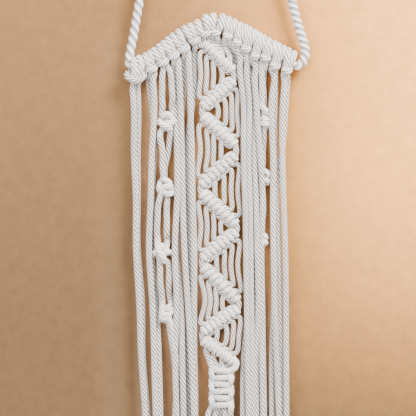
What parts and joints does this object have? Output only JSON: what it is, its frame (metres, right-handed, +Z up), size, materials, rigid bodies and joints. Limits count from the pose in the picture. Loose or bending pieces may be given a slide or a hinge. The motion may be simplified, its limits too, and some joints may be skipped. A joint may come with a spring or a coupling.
{
  "type": "macrame wall hanging",
  "caption": "Knotted cotton cord wall hanging: chevron header on a rope, long side cords with small knots, and a zigzag column that ends in a braid.",
  "frame": {"origin": "top of the hanging loop, where a nail or hook carries it", "axes": "+Z up, -Y towards the viewer, +X to the viewer's right"},
  "size_m": [0.1207, 0.0165, 0.5173],
  "materials": {
    "rope": "matte white twisted cotton rope",
    "cord": "matte white laid cotton cord"
  },
  "bodies": {
    "root": {"hanger_top": "rope", "hanger_left": "rope", "hanger_right": "rope", "header_and_cords": "cord", "zigzag_panel": "cord"}
  },
  "joints": []
}
